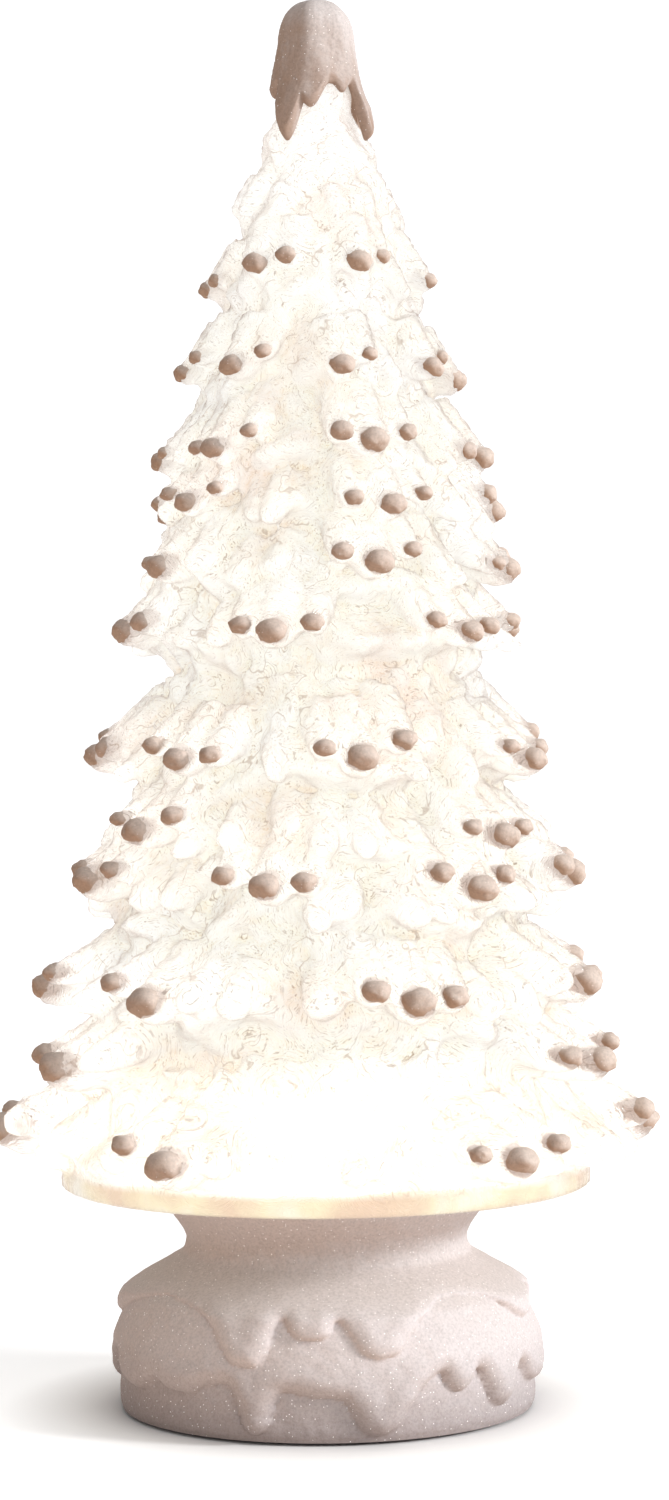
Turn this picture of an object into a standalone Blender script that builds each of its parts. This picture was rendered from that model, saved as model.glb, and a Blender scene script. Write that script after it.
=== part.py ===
"""A lit tabletop tree: a clear hollow plastic tree with snow-tipped boughs on a white battery base.

Lengths are written in millimetres and turned into metres as each mesh is made. +Z is up, the tree stands on
z = 0, its trunk is the Z axis and its front faces -Y. An azimuth of 0 is the front and 90 is the +X side.
"""

import math

import bmesh
import bpy
from mathutils import Vector

MM = 0.001
GAP = 0.3  # clearance between pieces that touch on the real object

# ---- driving dimensions of the tree
TREE_FOOT = 54.0  # underside of the clear tree
TREE_TOP = 339.0  # top of the clear tree, under the snow cap
SPIRE_TOP = 334.0  # where the cone ends and its small dome begins
OVERALL_HEIGHT = 343.0
RIM_RADIUS = 64.5
RIM_TOP = 59.0
# How far the boughs reach at each height, and the body between them: (height, radius).
REACH = (
    (66, 82.6), (101, 71.5), (124, 65.0), (164, 56.5), (200, 49.0), (225, 43.5), (254, 34.5), (275, 28.5),
    (300, 20.0), (321, 13.5), (334, 12.0),
)
CORE = (
    (59, 62.0), (84, 58.0), (113, 52.0), (143, 45.5), (174, 39.5), (214, 33.0), (240, 28.5), (265, 24.0),
    (290, 18.0), (308, 13.4), (321, 10.6), (334, 8.1),
)
WALL = 5.0
CAVITY_TOP = 318.0
COLUMNS = 48

# Tiers of boughs: (height, how many stand evenly round it, azimuth of the first one).
TIERS = (
    (67, 6, -86), (86, 3, -57), (102, 7, -87), (127, 7, -66), (139, 4, -45), (157, 7, -91), (187, 6, -74),
    (202, 5, -57), (217, 5, 24), (229, 6, -38), (250, 8, 9), (273, 6, -37), (290, 5, -8),
)

# ---- driving dimensions of the snow cap: drips as (azimuth, length, half width in degrees)
CAP_EDGE = 321.0
CAP_THICKNESS = 1.9
CAP_DRIPS = ((-24, 14, 30), (62, 14, 22), (-92, 5, 24), (20, 2, 20), (128, 10, 26), (-150, 13, 28))

# ---- driving dimensions of the base
BASE_TOP = 53.7
BASE_RIM = 0.8
BASE_INNER = 48.0
# The bell's outline from its rim to its flared top: (radius, height).
BASE_OUTLINE = (
    (50.4, BASE_RIM), (51.2, 3.5), (51.2, 7.0), (51.0, 11.0), (50.2, 15.0), (49.2, 19.0), (47.6, 23.0),
    (45.6, 27.0), (43.2, 30.5), (40.6, 33.2), (37.6, 35.8), (35.2, 38.3), (34.3, 41.3), (35.2, 44.2),
    (37.2, 47.0), (39.8, 50.5), (41.0, BASE_TOP),
)
# The hollow inside it, from the flared top down to the rim, with the ledge that carries the tree.
LEDGE_TOP, LEDGE_BOTTOM, LEDGE_INNER, NECK_INNER = 45.7, 43.0, 18.0, 31.0
BASE_HOLLOW = (
    (NECK_INNER, BASE_TOP), (NECK_INNER, LEDGE_TOP), (LEDGE_INNER, LEDGE_TOP), (LEDGE_INNER, LEDGE_BOTTOM),
    (NECK_INNER, LEDGE_BOTTOM), (NECK_INNER, 38.5), (38.0, 31.0), (44.0, 24.0), (BASE_INNER, 17.0),
    (BASE_INNER, BASE_RIM),
)
# Two layers of snow lie over the bell, each with a thickness and an edge: the (azimuth, height) of each
# drip's end and of the top of each gap between drips, once round.
SNOW_LAYERS = (
    (1.9, (
        (-180, 5), (-168, 12), (-155, 5), (-142, 13), (-125, 4), (-112, 13), (-98, 6), (-86, 13), (-72, 8),
        (-61, 14), (-52, 10), (-45, 13), (-37, 9.5), (-29, 15), (-17, 3.5), (-10, 13), (-5, 11.5), (1, 13),
        (13, 2.8), (29, 14), (38, 9.8), (43, 13), (51, 4), (61, 14), (72, 6), (84, 13), (98, 5), (112, 12),
        (126, 4), (140, 13), (153, 6), (167, 13), (180, 5),
    )),
    (1.3, (
        (-180, 21), (-160, 27), (-140, 21), (-118, 28), (-95, 22), (-75, 28), (-58, 26), (-38, 28.5),
        (-21, 19.4), (-11, 28.5), (-4, 24.5), (2.5, 28.5), (11, 21.5), (22, 28), (38, 27), (52, 29), (70, 23),
        (88, 28), (110, 21), (130, 28), (150, 20), (165, 27), (180, 21),
    )),
)
SNOW_SLOPE = 3.0  # height over which a layer's edge rises to its thickness

# ---- driving dimensions of the parts inside the base
COVER_BOTTOM, COVER_TOP, COVER_RADIUS = 2.3, 4.5, 47.4
BOX_INNER = (29.1, 23.2)  # half length along X, half width along Y
BOX_WALL = 1.6
BOX_CEILING = 20.0
DOOR_HALF = (28.7, 22.8)
DOOR_BOTTOM, DOOR_TOP = 2.5, 4.4
TAB_OFFSET = 7.6
CELL_RADIUS, CELL_LENGTH, CELL_PITCH, CELL_HEIGHT = 7.15, 50.2, 15.2, 12.2
PLATE_FACE, PLATE_THICKNESS = 28.3, 0.5
TERMINAL_HEIGHT = 15.0
SWITCH_Y = -34.8
SWITCH_TRAVEL = 4.0
FOOT_OFFSET, FOOT_RADIUS, FOOT_HEIGHT = 29.0, 4.0, 2.0
COVER_SCREWS = tuple((44.0, azimuth) for azimuth in (60, 180, 300))
SHELL_SCREWS = tuple((27.85, azimuth) for azimuth in (0, 120, 240))
BOARD_SCREWS = tuple((22.0, azimuth) for azimuth in (90, 270))
BOARD_BOTTOM, BOARD_TOP, BOARD_RADIUS = 46.0, 47.6, 24.6
SPIGOT_INNER, SPIGOT_OUTER, SPIGOT_BOTTOM = 25.0, 30.7, 46.0
PLATE_TOP, PLATE_RADIUS, WINDOW_RADIUS = 56.5, 57.6, 17.0
DIFFUSER_RADIUS, DIFFUSER_TOP = 18.0, 80.0
LED_CIRCLE = 9.0


# ---- building blocks
def material(name, colour, roughness, metallic=0.0, clear=0.0):
    made = bpy.data.materials.new(name)
    made.use_nodes = True
    shader = made.node_tree.nodes["Principled BSDF"]
    shader.inputs["Base Color"].default_value = (*colour, 1.0)
    shader.inputs["Roughness"].default_value = roughness
    shader.inputs["Metallic"].default_value = metallic
    shader.inputs["Transmission Weight"].default_value = clear
    return made


def at(azimuth, radius, z=0.0):
    """The point at this azimuth in degrees, from the front towards +X."""
    turn = math.radians(azimuth)
    return Vector((radius * math.sin(turn), -radius * math.cos(turn), z))


def add(name, mesh_builder, surface, smooth=35.0):
    """Makes an object from a bmesh in millimetres."""
    bmesh.ops.recalc_face_normals(mesh_builder, faces=mesh_builder.faces)
    bmesh.ops.scale(mesh_builder, vec=(MM, MM, MM), verts=mesh_builder.verts)
    mesh = bpy.data.meshes.new(name)
    mesh_builder.to_mesh(mesh)
    mesh_builder.free()
    mesh.materials.append(surface)
    mesh.shade_smooth()
    mesh.set_sharp_from_angle(angle=math.radians(smooth))
    made = bpy.data.objects.new(name, mesh)
    bpy.context.scene.collection.objects.link(made)
    return made


def skin(name, rings, surface, closed=False, smooth=35.0):
    """A closed skin over rings of points. A ring of one point is a pole; closed joins the two end rings."""
    builder = bmesh.new()
    placed = [[builder.verts.new(point) for point in ring] for ring in rings]
    pairs = list(zip(placed, placed[1:]))
    if closed:
        pairs.append((placed[-1], placed[0]))
    for low, high in pairs:
        for k in range(max(len(low), len(high))):
            n = max(len(low), len(high))
            corners = [low[k % len(low)], low[(k + 1) % n % len(low)]]
            corners += [high[(k + 1) % n % len(high)], high[k % len(high)]]
            builder.faces.new(list(dict.fromkeys(corners)))
    if not closed:
        for ring in (placed[0], placed[-1]):
            if len(ring) > 1:
                builder.faces.new(ring)
    return add(name, builder, surface, smooth)


def turned(name, outline, surface, sides=24, closed=False, smooth=35.0):
    """A turned piece from an outline of (radius, height). A radius of 0 is a pole."""
    rings = []
    for radius, z in outline:
        if radius == 0:
            rings.append([Vector((0, 0, z))])
        else:
            rings.append([at(360 * k / sides, radius, z) for k in range(sides)])
    return skin(name, rings, surface, closed, smooth)


def block(name, low, high, surface):
    """A box between two corners."""
    builder = bmesh.new()
    bmesh.ops.create_cube(builder, size=1.0)
    size = Vector(high) - Vector(low)
    centre = (Vector(high) + Vector(low)) / 2
    bmesh.ops.scale(builder, vec=size, verts=builder.verts)
    bmesh.ops.translate(builder, vec=centre, verts=builder.verts)
    return add(name, builder, surface)


def tool(piece):
    """Marks an object as a cutter or an addition, which isn't a piece itself."""
    piece.hide_render = True
    piece.display_type = "WIRE"
    return piece


def combine(target, operation, *others):
    """Adds a Boolean for each of the other objects, which become tools."""
    for other in others:
        modifier = target.modifiers.new(other.name, "BOOLEAN")
        modifier.operation = operation
        modifier.solver = "EXACT"
        modifier.object = tool(other)
    return target


def move(piece, x=0.0, y=0.0, z=0.0):
    piece.location = Vector((x, y, z)) * MM
    return piece


def copy_at(piece, name, place, turn=0.0):
    """Another object on the same mesh, at a place in millimetres."""
    made = bpy.data.objects.new(name, piece.data)
    made.location = Vector(place) * MM
    made.rotation_euler = (0, 0, math.radians(turn))
    bpy.context.scene.collection.objects.link(made)
    return made


def tube(name, points, radius, surface, sides_level=1):
    """A round wire along points in millimetres."""
    curve = bpy.data.curves.new(name, "CURVE")
    curve.dimensions = "3D"
    curve.bevel_depth = radius * MM
    curve.bevel_resolution = sides_level
    curve.use_fill_caps = True
    spline = curve.splines.new("POLY")
    spline.points.add(len(points) - 1)
    for place, point in zip(spline.points, points):
        place.co = (*(Vector(point) * MM), 1.0)
    curve.materials.append(surface)
    made = bpy.data.objects.new(name, curve)
    bpy.context.scene.collection.objects.link(made)
    return made


def smooth_route(points, steps):
    """Points along a smooth curve through the route's own points."""
    route = [Vector(p) for p in points]
    route = [2 * route[0] - route[1], *route, 2 * route[-1] - route[-2]]
    found = []
    for k in range(1, len(route) - 2):
        a, b, c, d = route[k - 1 : k + 3]
        for step in range(steps):
            t = step / steps
            curve = 2 * b + (c - a) * t + (2 * a - 5 * b + 4 * c - d) * t * t
            found.append((curve + (3 * b - a - 3 * c + d) * t**3) / 2)
    return [*found, route[-2]]


def bump(offset):
    """1 at 0, falling smoothly to 0 at -1 and 1."""
    return 0.5 + 0.5 * math.cos(math.pi * offset) if abs(offset) < 1 else 0.0


def wave_edge(azimuth, points):
    """The height of a wavy edge at this azimuth, smooth through the points of (azimuth, height)."""
    azimuth = apart(azimuth, 0)
    for (before, low), (after, high) in zip(points, points[1:]):
        if azimuth <= after:
            share = (azimuth - before) / (after - before)
            return low + (high - low) * share * share * (3 - 2 * share)
    return points[-1][1]


def apart(azimuth, other):
    """The angle between two azimuths, from -180 to 180 degrees."""
    return (azimuth - other + 180) % 360 - 180


def drip_edge(azimuth, edge, drips):
    """The height of a snow edge at this azimuth, with its drips hanging below it."""
    return edge - max(length * bump(apart(azimuth, where) / half) for where, length, half in drips)


def along(table, place):
    """The value at a place between the rows of a table of (place, value)."""
    before = table[0]
    for row in table:
        if place <= row[0]:
            share = (place - before[0]) / (row[0] - before[0]) if row[0] > before[0] else 0.0
            return before[1] + (row[1] - before[1]) * share
        before = row
    return before[1]


# ---- the clear tree and its snow cap
def reach(z):
    return along(REACH, z)


def core(z):
    return along(CORE, z)


def boughs():
    """The (azimuth, height) of each bough's tip."""
    return [(first + 360 * k / count, height) for height, count, first in TIERS for k in range(count)]


def shell_radius(azimuth, z):
    """The radius of the tree's surface: its body, the rim at its foot and the boughs that stand out."""
    radius = max(core(z), RIM_RADIUS if z <= RIM_TOP else 0.0)
    for tip_azimuth, tip in boughs():
        if abs(z - tip) > 12:
            continue
        far = reach(tip)
        across = math.radians(apart(azimuth, tip_azimuth)) * far / (3.0 + 0.15 * far)
        along = (z - tip) / (6.0 + 0.07 * far)
        share = 1 - across * across - along * along
        if share > 0:
            radius = max(radius, core(z) + (far - core(z)) * share)
    return radius


def tree_shell(clear):
    rows = 46
    start = RIM_TOP + 2.0
    heights = [TREE_FOOT, TREE_FOOT + 1.2, RIM_TOP]
    heights += [start + (SPIRE_TOP - start) * k / rows for k in range(rows + 1)]
    outer = []
    for z in heights:
        inset = 1.2 if z == TREE_FOOT else 0.0
        ring = [at(a, shell_radius(a, z) - inset, z) for a in columns()]
        outer.append(ring)
    outer.append([at(a, 5.4, SPIRE_TOP + 3.6) for a in columns()])
    outer.append([Vector((0, 0, TREE_TOP))])
    hollow = [(PLATE_RADIUS + GAP, TREE_FOOT), (PLATE_RADIUS + GAP, PLATE_TOP + GAP)]
    hollow += [(core(z) - WALL, z) for z in (62.0, 140.0, 220.0, 300.0, 312.0)]
    inner = [[at(a, radius, z) for a in columns()] for radius, z in reversed(hollow)]
    return skin("tree_shell", [[Vector((0, 0, CAVITY_TOP))], *inner, *outer], clear, smooth=60)


def columns():
    return [360 * k / COLUMNS for k in range(COLUMNS)]


def snow_cap(snow):
    """A cap that follows the spire 0.3 mm off it, with drips of snow at its edge."""
    azimuths = [360 * k / 40 for k in range(40)]
    shares = (0.0, 0.12, 0.4, 0.7, 1.0)

    def height(azimuth, share):
        edge = drip_edge(azimuth, CAP_EDGE, CAP_DRIPS)
        return edge + (SPIRE_TOP - edge) * share

    inner, outer = [], []
    for share in shares:
        thickness = CAP_THICKNESS * (0.3 if share == 0 else 1.0)
        heights = [height(a, share) for a in azimuths]
        inner.append([at(a, core(z) + GAP, z) for a, z in zip(azimuths, heights)])
        outer.append([at(a, core(z) + GAP + thickness, z) for a, z in zip(azimuths, heights)])
    inner.append([at(a, 5.9, SPIRE_TOP + 3.8) for a in azimuths])
    outer += [[at(a, r, z) for a in azimuths] for r, z in ((8.6, 338.8), (5.4, 341.8))]
    rings = [[Vector((0, 0, TREE_TOP + GAP))], *reversed(inner), *outer, [Vector((0, 0, OVERALL_HEIGHT))]]
    return skin("snow_cap", rings, snow, smooth=60)


def shell_bottom_plate(clear):
    """The plate that closes the tree's foot, with the spigot that goes down into the base's neck."""
    outline = (
        (WINDOW_RADIUS, TREE_FOOT), (SPIGOT_INNER, TREE_FOOT), (SPIGOT_INNER, SPIGOT_BOTTOM),
        (SPIGOT_OUTER, SPIGOT_BOTTOM), (SPIGOT_OUTER, TREE_FOOT), (PLATE_RADIUS, TREE_FOOT),
        (PLATE_RADIUS, PLATE_TOP), (WINDOW_RADIUS, PLATE_TOP),
    )
    plate = turned("shell_bottom_plate", outline, clear, sides=COLUMNS, closed=True)
    for number, (radius, azimuth) in enumerate(SHELL_SCREWS):
        hole = turned(f"spigot_hole_{number}", ((1.2, 44.0), (1.2, 52.0)), clear, sides=12)
        combine(plate, "DIFFERENCE", move(hole, *at(azimuth, radius)))
    return plate


def light_diffuser(frosted):
    """A frosted dome over the lamps, open at its foot, with a flange glued to the bottom plate."""
    foot, wall = PLATE_TOP + GAP, 1.4
    outer = [(21.5, foot), (21.5, foot + 1.4), (DIFFUSER_RADIUS, foot + 1.4), (DIFFUSER_RADIUS, 64.0)]
    inner = [(DIFFUSER_RADIUS - wall, foot), (DIFFUSER_RADIUS - wall, 64.0)]
    for degrees in (30, 55, 78):
        turn = math.radians(degrees)
        rise = DIFFUSER_TOP - 64.0
        outer.append((DIFFUSER_RADIUS * math.cos(turn), 64.0 + rise * math.sin(turn)))
        inner.append(((DIFFUSER_RADIUS - wall) * math.cos(turn), 64.0 + (rise - wall) * math.sin(turn)))
    outline = [(0, DIFFUSER_TOP - wall), *reversed(inner), *outer, (0, DIFFUSER_TOP)]
    return turned("light_diffuser", outline, frosted, sides=28)


# ---- the lamps and their board
def lamps(board_green, clear, black, steel):
    outline = ((BOARD_RADIUS, BOARD_BOTTOM), (BOARD_RADIUS, BOARD_TOP))
    board = turned("led_board", outline, board_green, sides=36)
    for number, (radius, azimuth) in enumerate(BOARD_SCREWS):
        hole = turned(f"board_hole_{number}", ((1.2, 45.0), (1.2, 49.0)), board_green, sides=12)
        combine(board, "DIFFERENCE", move(hole, *at(azimuth, radius)))
    foot = BOARD_TOP + GAP
    flange = ((0, foot), (2.9, foot), (2.9, foot + 1.0), (2.5, foot + 1.0))
    first = turned("led_1", (*flange, (2.5, foot + 4.6), (1.7, foot + 6.3), (0, foot + 7.0)), clear, sides=12)
    move(first, *at(45, LED_CIRCLE))
    for number in (2, 3, 4):
        copy_at(first, f"led_{number}", at(45 + 90 * (number - 1), LED_CIRCLE))
    block("timer_chip", (-2.5, -2.0, 44.2), (2.5, 2.0, BOARD_BOTTOM - GAP), black)
    head = BOARD_TOP + GAP
    outline = ((0, 43.6), (0.9, 43.6), (0.9, head), (1.9, head), (1.9, head + 0.7), (1.2, head + 1.1))
    screw = turned("board_screw_1", (*outline, (0, head + 1.1)), steel, sides=12)
    move(screw, *at(90, 22.0))
    copy_at(screw, "board_screw_2", at(270, 22.0))


# ---- the base
def snow_on_base(azimuth, z):
    """How thick the snow lies on the bell at this azimuth and height."""
    thickness = 0.0
    for full, points in SNOW_LAYERS:
        rise = (z - wave_edge(azimuth, points)) / SNOW_SLOPE
        thickness += full * max(0.0, min(1.0, rise)) ** 0.5
    fade = min(1.0, max(0.0, (37.0 - z) / 9.0))
    return thickness * fade


def base_shell(snow):
    rings = []
    azimuths = [5 * k for k in range(72)]
    for radius, z in BASE_OUTLINE:
        rings.append([at(a, radius + snow_on_base(a, z), z) for a in azimuths])
    for radius, z in BASE_HOLLOW:
        rings.append([at(a, radius, z) for a in azimuths])
    shell = skin("base_shell", rings, snow, closed=True, smooth=50)
    for number, (radius, azimuth) in enumerate(COVER_SCREWS):
        place = at(azimuth, radius)
        boss = turned(f"boss_{number}", ((4.6, COVER_TOP + GAP), (4.6, 18.0), (3.0, 20.0)), snow, sides=16)
        combine(shell, "UNION", move(boss, *place))
    for number, (radius, azimuth) in enumerate(COVER_SCREWS):
        hole = turned(f"boss_hole_{number}", ((1.6, 4.0), (1.6, 15.5)), snow, sides=12)
        combine(shell, "DIFFERENCE", move(hole, *at(azimuth, radius)))
    for number, (radius, azimuth) in enumerate((*SHELL_SCREWS, *BOARD_SCREWS)):
        hole = turned(f"ledge_hole_{number}", ((1.3, 42.0), (1.3, 47.0)), snow, sides=12)
        combine(shell, "DIFFERENCE", move(hole, *at(azimuth, radius)))
    return shell


def shell_screws(steel):
    head = LEDGE_BOTTOM - GAP
    outline = ((0, 51.0), (1.0, 51.0), (1.0, head), (2.2, head), (2.2, head - 0.8), (1.4, head - 1.2))
    first = turned("shell_screw_1", (*outline, (0, head - 1.2)), steel, sides=12)
    for number, (radius, azimuth) in enumerate(SHELL_SCREWS, 1):
        if number == 1:
            move(first, *at(azimuth, radius))
        else:
            copy_at(first, f"shell_screw_{number}", at(azimuth, radius))


def cover_screws(steel):
    """Pan-head screws with a cross recess, driven up into the base's bosses."""
    outline = ((0, 13.5), (1.3, 12.6), (1.3, 2.0), (3.0, 2.0), (3.0, 1.4), (2.2, 0.9), (0, 0.9))
    first = turned("cover_screw_1", outline, steel, sides=12)
    for name, low, high in (
        ("recess_x", (-1.6, -0.3, 0.2), (1.6, 0.3, 1.6)),
        ("recess_y", (-0.3, -1.6, 0.2), (0.3, 1.6, 1.6)),
    ):
        combine(first, "DIFFERENCE", block(name, low, high, steel))
    cross = first.modifiers
    screws = [first]
    for number in (2, 3):
        other = copy_at(first, f"cover_screw_{number}", (0, 0, 0))
        for modifier in cross:
            again = other.modifiers.new(modifier.name, "BOOLEAN")
            again.operation, again.solver = modifier.operation, "EXACT"
            again.object = copy_tool(modifier.object, f"{modifier.name}_{number}")
        screws.append(other)
    for screw, (radius, azimuth) in zip(screws, COVER_SCREWS):
        move(screw, *at(azimuth, radius))
        for modifier in screw.modifiers:
            move(modifier.object, *at(azimuth, radius))


def copy_tool(piece, name):
    return tool(copy_at(piece, name, (0, 0, 0)))


def bottom_cover(plastic):
    """The base's underside, with the battery box standing on it."""
    cover = turned(
        "bottom_cover", ((COVER_RADIUS, COVER_BOTTOM), (COVER_RADIUS, COVER_TOP)), plastic, sides=COLUMNS
    )
    length, width = BOX_INNER
    top = BOX_CEILING + BOX_WALL
    corner = (length + BOX_WALL, width + BOX_WALL, top)
    combine(cover, "UNION", block("box_outer", (-corner[0], -corner[1], 3.0), corner, plastic))
    cutters = [block("box_inner", (-length, -width, 0.0), (length, width, BOX_CEILING), plastic)]
    for number, side in enumerate((-1, 1)):
        centre = side * TAB_OFFSET
        slot = block(f"tab_slot_{number}", (-32.0, centre - 3.5, 4.6), (-28.0, centre + 3.5, 6.8), plastic)
        terminal_y = side * CELL_PITCH
        low = (-side * 28.0, terminal_y - 2.2, TERMINAL_HEIGHT - 0.6)
        high = (-side * 32.0, terminal_y + 2.2, TERMINAL_HEIGHT + 1.1)
        lead = block(f"lead_slot_{number}", low, high, plastic)
        cutters += [slot, lead]
    cutters.append(block("switch_slot", (-4.2, SWITCH_Y - 1.7, 1.0), (4.2, SWITCH_Y + 1.7, 5.5), plastic))
    for number, (radius, azimuth) in enumerate(COVER_SCREWS):
        hole = turned(f"cover_hole_{number}", ((1.7, 1.0), (1.7, 5.5)), plastic, sides=12)
        cutters.append(move(hole, *at(azimuth, radius)))
    return combine(cover, "DIFFERENCE", *cutters)


def battery_door(plastic):
    """The door swings down about its outer edge at -X, where two hooks reach into slots in the box."""
    hinge = bpy.data.objects.new("door_hinge", None)
    hinge.location = Vector((-DOOR_HALF[0], 0, DOOR_BOTTOM)) * MM
    bpy.context.scene.collection.objects.link(hinge)
    x, y = 2 * DOOR_HALF[0], DOOR_HALF[1]
    door = block("battery_door", (0, -y, 0), (x, y, DOOR_TOP - DOOR_BOTTOM), plastic)
    door.parent = hinge
    parts = [block("latch", (x - 1.7, -5.0, 1.0), (x - 0.5, 5.0, 4.5), plastic)]
    for number, centre in enumerate((-TAB_OFFSET, TAB_OFFSET)):
        parts.append(block(f"riser_{number}", (0.2, centre - 3.0, 1.0), (1.7, centre + 3.0, 3.7), plastic))
        parts.append(block(f"hook_{number}", (-1.2, centre - 3.0, 2.4), (1.6, centre + 3.0, 3.6), plastic))
    for part in parts:
        part.parent = hinge
    combine(door, "UNION", *parts)
    notch = turned("thumb_notch", ((6.0, -2.0), (6.0, 0.7)), plastic, sides=20)
    notch.location = Vector((x - 9.0, 0, 0)) * MM
    notch.parent = hinge
    return combine(door, "DIFFERENCE", notch)


def cells(jacket):
    """Three AA cells side by side; the middle one is turned end for end."""
    half, nub = CELL_LENGTH / 2, 1.3
    outline = (
        (0, -half), (6.0, -half), (6.9, -half + 0.4), (CELL_RADIUS, -half + 1.4),
        (CELL_RADIUS, half - nub - 1.2), (6.4, half - nub), (2.7, half - nub), (2.6, half), (0, half),
    )
    centre = PLATE_FACE - GAP - half
    first = turned("battery_1", outline, jacket, sides=18)
    for number, side in ((1, 1), (2, -1), (3, 1)):
        cell = first if number == 1 else copy_at(first, f"battery_{number}", (0, 0, 0))
        cell.rotation_euler = (0, math.radians(90 * side), 0)
        move(cell, side * centre, CELL_PITCH * (number - 2), CELL_HEIGHT)


def contacts(steel):
    """Springs at the cells' flat ends, plates that link the cells in series, and two terminals."""
    free_end = PLATE_FACE - GAP - CELL_LENGTH
    near, far = free_end - GAP - 0.35, PLATE_FACE - GAP - 0.35
    for number, side in ((1, -1), (2, 1), (3, -1)):
        turns, points = 3.25, 30
        route = []
        for k in range(points + 1):
            share = k / points
            turn = 2 * math.pi * turns * share
            radius = 2.4 + 2.6 * share
            x = side * (-near + (far + near) * share)
            y = CELL_PITCH * (number - 2) + radius * math.cos(turn)
            route.append((x, y, CELL_HEIGHT + radius * math.sin(turn)))
        tube(f"contact_spring_{number}", route, 0.35, steel)
    inner, outer = PLATE_FACE, PLATE_FACE + PLATE_THICKNESS
    for name, side, y in (("link_plate_left", -1, -0.5), ("link_plate_right", 1, 0.5)):
        centre = y * CELL_PITCH
        block(name, (side * inner, centre - 12.6, 7.8), (side * outer, centre + 12.6, 17.4), steel)
    for name, side in (("positive_terminal", 1), ("negative_terminal", -1)):
        y = -side * CELL_PITCH
        plate = block(name, (side * inner, y - 2.0 - 2.6, 7.8), (side * outer, y + 4.6, 17.4), steel)
        low, high = TERMINAL_HEIGHT, TERMINAL_HEIGHT + 0.5
        start, end = side * (inner + 0.1), side * 33.0
        lead = block(f"{name}_lead", (start, y - 1.5, low), (end, y + 1.5, high), steel)
        combine(plate, "UNION", lead)


def power_switch(black, plastic):
    """A three-way slide switch above the cover; its knob reaches down through the cover's slot, at ON."""
    body = block("switch_body", (-6.5, SWITCH_Y - 3.2, COVER_TOP + GAP), (6.5, SWITCH_Y + 3.2, 10.8), black)
    track = block("switch_track", (-4.2, SWITCH_Y - 1.6, 4.0), (4.2, SWITCH_Y + 1.6, 7.4), black)
    combine(body, "DIFFERENCE", track)
    slider = bpy.data.objects.new("switch_at_on", None)
    slider.location = Vector((-SWITCH_TRAVEL / 2, SWITCH_Y, 0)) * MM
    bpy.context.scene.collection.objects.link(slider)
    knob = block("switch_slider", (-1.5, -1.2, 1.2), (1.5, 1.2, 7.0), plastic)
    bevel = knob.modifiers.new("soft_edges", "BEVEL")
    bevel.width, bevel.segments = 0.25 * MM, 1
    knob.parent = slider


def wires(red, black):
    """Three insulated leads: cell to switch, switch to board and cell to board."""
    lead = TERMINAL_HEIGHT + 0.25
    routes = (
        ("wire_battery_to_switch", red, (
            (33.9, -15.2, lead), (36.5, -16.5, 20.5), (33.0, -23.0, 23.5), (25.0, -31.5, 20.0),
            (7.4, -35.0, 8.6),
        )),
        ("wire_switch_to_board", red, (
            (-3.0, SWITCH_Y, 11.6), (-3.5, -35.5, 17.0), (1.0, -30.0, 26.0), (7.0, -17.0, 33.0),
            (8.0, -9.0, 39.0), (8.0, -8.0, 45.2),
        )),
        ("wire_battery_to_board", black, (
            (-33.9, 15.2, lead), (-38.0, 17.0, 18.0), (-33.0, 15.0, 26.0), (-17.0, 10.0, 32.0),
            (-9.0, 7.0, 39.0), (-8.0, 6.0, 45.2),
        )),
    )
    for name, surface, route in routes:
        tube(name, smooth_route(route, 4), 0.6, surface)


def feet(rubber):
    outline = ((FOOT_RADIUS - 0.3, 0.0), (FOOT_RADIUS, 0.4), (FOOT_RADIUS, FOOT_HEIGHT))
    first = turned("foot_1", outline, rubber, sides=16)
    corners = ((-1, -1), (1, -1), (1, 1), (-1, 1))
    for number, (x, y) in enumerate(corners, 1):
        foot = first if number == 1 else copy_at(first, f"foot_{number}", (0, 0, 0))
        move(foot, x * FOOT_OFFSET, y * FOOT_OFFSET)


def main():
    for existing in list(bpy.data.objects):
        bpy.data.objects.remove(existing)
    clear = material("clear_acrylic", (0.98, 0.96, 0.92), 0.06, clear=1.0)
    frosted = material("frosted_plastic", (0.97, 0.95, 0.90), 0.55, clear=0.6)
    snow = material("snow_coat", (0.80, 0.74, 0.71), 0.85)
    plastic = material("white_plastic", (0.82, 0.80, 0.78), 0.45)
    board_green = material("circuit_board", (0.05, 0.25, 0.10), 0.4)
    black = material("black_plastic", (0.03, 0.03, 0.03), 0.4)
    steel = material("plated_steel", (0.65, 0.64, 0.62), 0.3, metallic=1.0)
    jacket = material("cell_jacket", (0.12, 0.12, 0.14), 0.35, metallic=0.4)
    red = material("red_insulation", (0.60, 0.03, 0.03), 0.45)
    rubber = material("foot_foam", (0.85, 0.84, 0.82), 0.9)
    tree_shell(clear)
    snow_cap(snow)
    shell_bottom_plate(clear)
    light_diffuser(frosted)
    lamps(board_green, clear, black, steel)
    base_shell(snow)
    shell_screws(steel)
    bottom_cover(plastic)
    cover_screws(steel)
    battery_door(plastic)
    cells(jacket)
    contacts(steel)
    power_switch(black, plastic)
    wires(red, black)
    feet(rubber)


main()
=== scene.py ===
"""The finished look of a lit tabletop tree: clear boughs with snow on their tips, over a snowy base."""

import math
import random

import bmesh
import bpy
import numpy as np
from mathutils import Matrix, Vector, noise


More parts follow.
